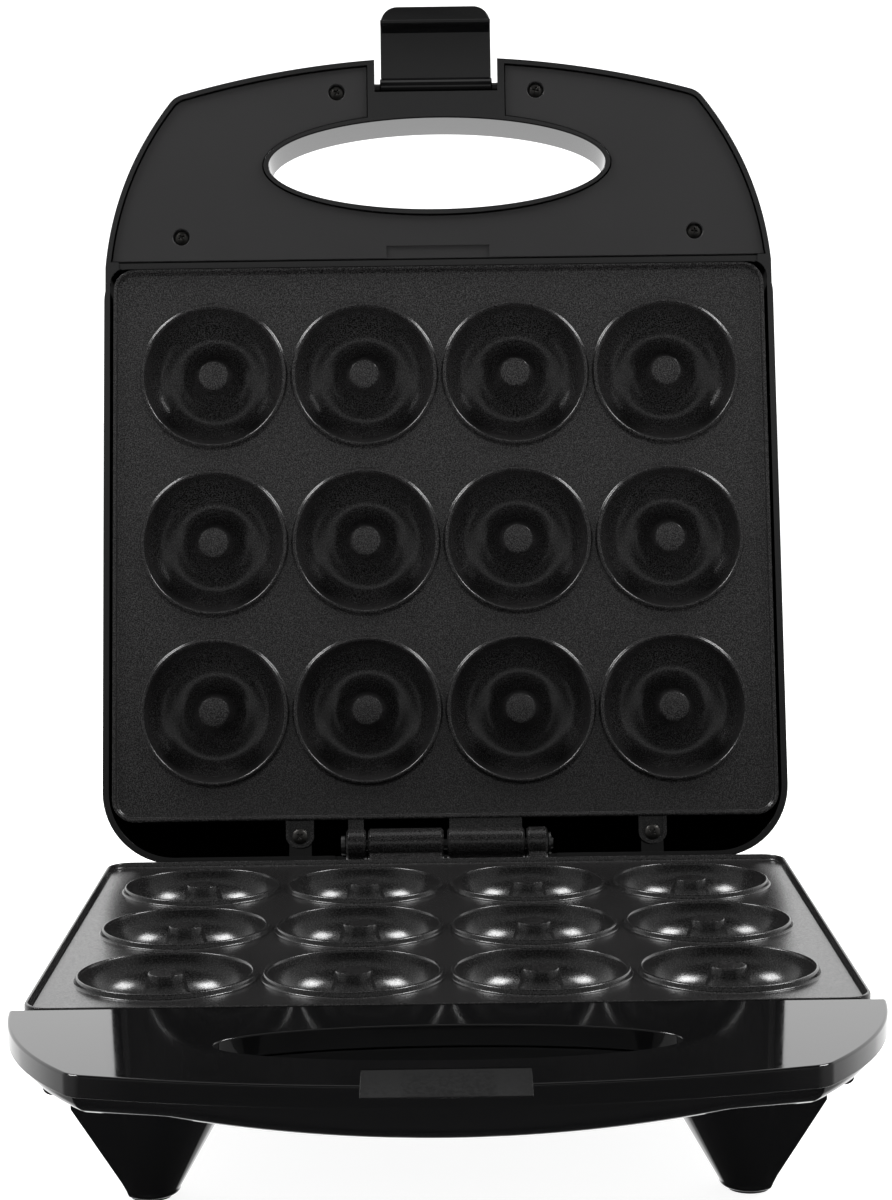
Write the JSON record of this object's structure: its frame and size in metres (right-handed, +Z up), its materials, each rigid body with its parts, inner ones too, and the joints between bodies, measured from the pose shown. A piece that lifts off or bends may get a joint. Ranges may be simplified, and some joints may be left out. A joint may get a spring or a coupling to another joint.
{
  "type": "donut maker",
  "caption": "Electric clamshell donut maker: hinged cooking plates with ring wells, hand-hole handles, swing latch and conical feet, shown open.",
  "frame": {"origin": "on the surface it stands on, under the middle of the open donut maker's width and depth", "axes": "+Z up, +Y from the handle towards the hinge, +X to the right seen from the handle; the lid is open at rest"},
  "size_m": [0.2448, 0.38, 0.3641],
  "materials": {
    "gloss_black": "polished moulded plastic",
    "satin_black": "satin moulded plastic",
    "nonstick": "non-stick coating on cast aluminium, satin",
    "steel": "plain steel",
    "black_steel": "black oxide",
    "sheet_metal": "mill finish",
    "element_steel": "oxidised sheath",
    "ceramic": "ceramic and phenolic, matte",
    "rubber": "matte",
    "red_lens": "clear red, polished",
    "green_lens": "clear green, polished",
    "lamp_glass": "clear",
    "wire_sleeve": "glass-fibre sleeve"
  },
  "bodies": {
    "base": {"base_handle_cover": "gloss_black", "base_handle_screw_1": "black_steel", "base_handle_screw_2": "black_steel", "base_handle_screw_3": "black_steel", "base_handle_screw_4": "black_steel", "base_housing": "gloss_black", "cord_gland": "rubber", "foot_pad_front_left": "rubber", "foot_pad_front_right": "rubber", "foot_pad_rear_left": "rubber", "foot_pad_rear_right": "rubber", "heater_lead": "wire_sleeve", "hinge_pin": "steel", "hinge_pin_clip": "steel", "lower_heating_element": "element_steel", "lower_plate": "nonstick", "lower_plate_screw_1": "black_steel", "lower_plate_screw_2": "black_steel", "lower_plate_screw_3": "black_steel", "lower_plate_screw_4": "black_steel", "lower_reflector": "sheet_metal", "lower_thermostat": "ceramic", "terminal_block": "ceramic", "thermal_fuse": "sheet_metal"},
    "lid": {"lamp_board": "ceramic", "latch_pin": "steel", "lid_handle_cover": "satin_black", "lid_handle_screw_1": "black_steel", "lid_handle_screw_2": "black_steel", "lid_handle_screw_3": "black_steel", "lid_handle_screw_4": "black_steel", "lid_shell": "gloss_black", "power_lamp": "lamp_glass", "power_lens": "red_lens", "ready_lamp": "lamp_glass", "ready_lens": "green_lens", "reflector_screw_1": "black_steel", "reflector_screw_2": "black_steel", "reflector_screw_3": "black_steel", "reflector_screw_4": "black_steel", "upper_heating_element": "element_steel", "upper_plate": "nonstick", "upper_plate_screw_left": "black_steel", "upper_plate_screw_right": "black_steel", "upper_reflector": "sheet_metal", "upper_thermostat": "ceramic"},
    "latch": {"latch": "gloss_black"}
  },
  "joints": [
    {"name": "lid_hinge", "type": "hinge", "parent": "base", "child": "lid", "pos_m": [0, 0.10033, 0.06], "axis": [1, 0, 0], "range_deg": [0, 103.37]},
    {"name": "latch_hinge", "type": "hinge", "parent": "lid", "child": "latch", "pos_m": [0, 0.17844, 0.33242], "axis": [1, 0, 0], "range_deg": [0, 75]}
  ]
}
